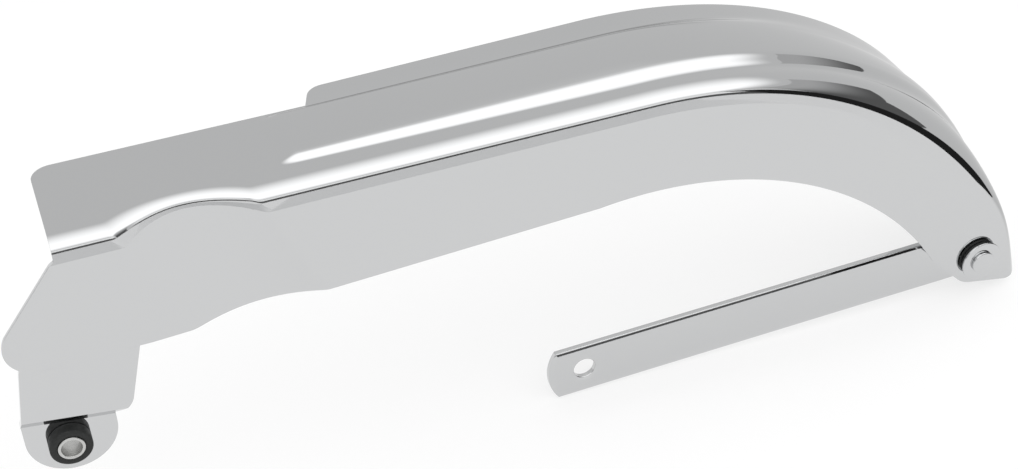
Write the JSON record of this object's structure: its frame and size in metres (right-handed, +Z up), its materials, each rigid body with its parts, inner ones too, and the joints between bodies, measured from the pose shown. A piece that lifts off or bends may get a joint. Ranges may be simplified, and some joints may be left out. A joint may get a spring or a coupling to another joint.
{
  "type": "upper belt guard",
  "caption": "Pressed chrome channel that covers a motorcycle's drive belt and curves over its rear pulley, with a rubber-bushed front bracket and a swinging support strap.",
  "frame": {"origin": "on the axis of the front bush's bore, in the plane of the side panel's outer face, just inside the sleeve's mouth", "axes": "+X along the guard toward its rear, +Y inward toward the wheel along the bush's bore, +Z up with the top of the straight run level"},
  "size_m": [0.4575, 0.068, 0.16],
  "materials": {
    "chrome_sheet": "polished",
    "chrome_bar": "polished",
    "rubber": "matte",
    "zinc_steel": "satin"
  },
  "bodies": {
    "guard": {"guard_shell": "chrome_sheet", "front_bracket": "chrome_sheet", "front_grommet": "rubber", "front_sleeve": "zinc_steel", "rear_grommet": "rubber"},
    "strap": {"support_strap": "chrome_bar", "pivot_rivet": "chrome_bar", "pivot_washer": "chrome_bar"}
  },
  "joints": [
    {"name": "strap_swing", "type": "hinge", "parent": "guard", "child": "strap", "pos_m": [0.4155, 0, -0.0355], "axis": [0, 1, 0], "range_deg": [-95, 33]}
  ]
}
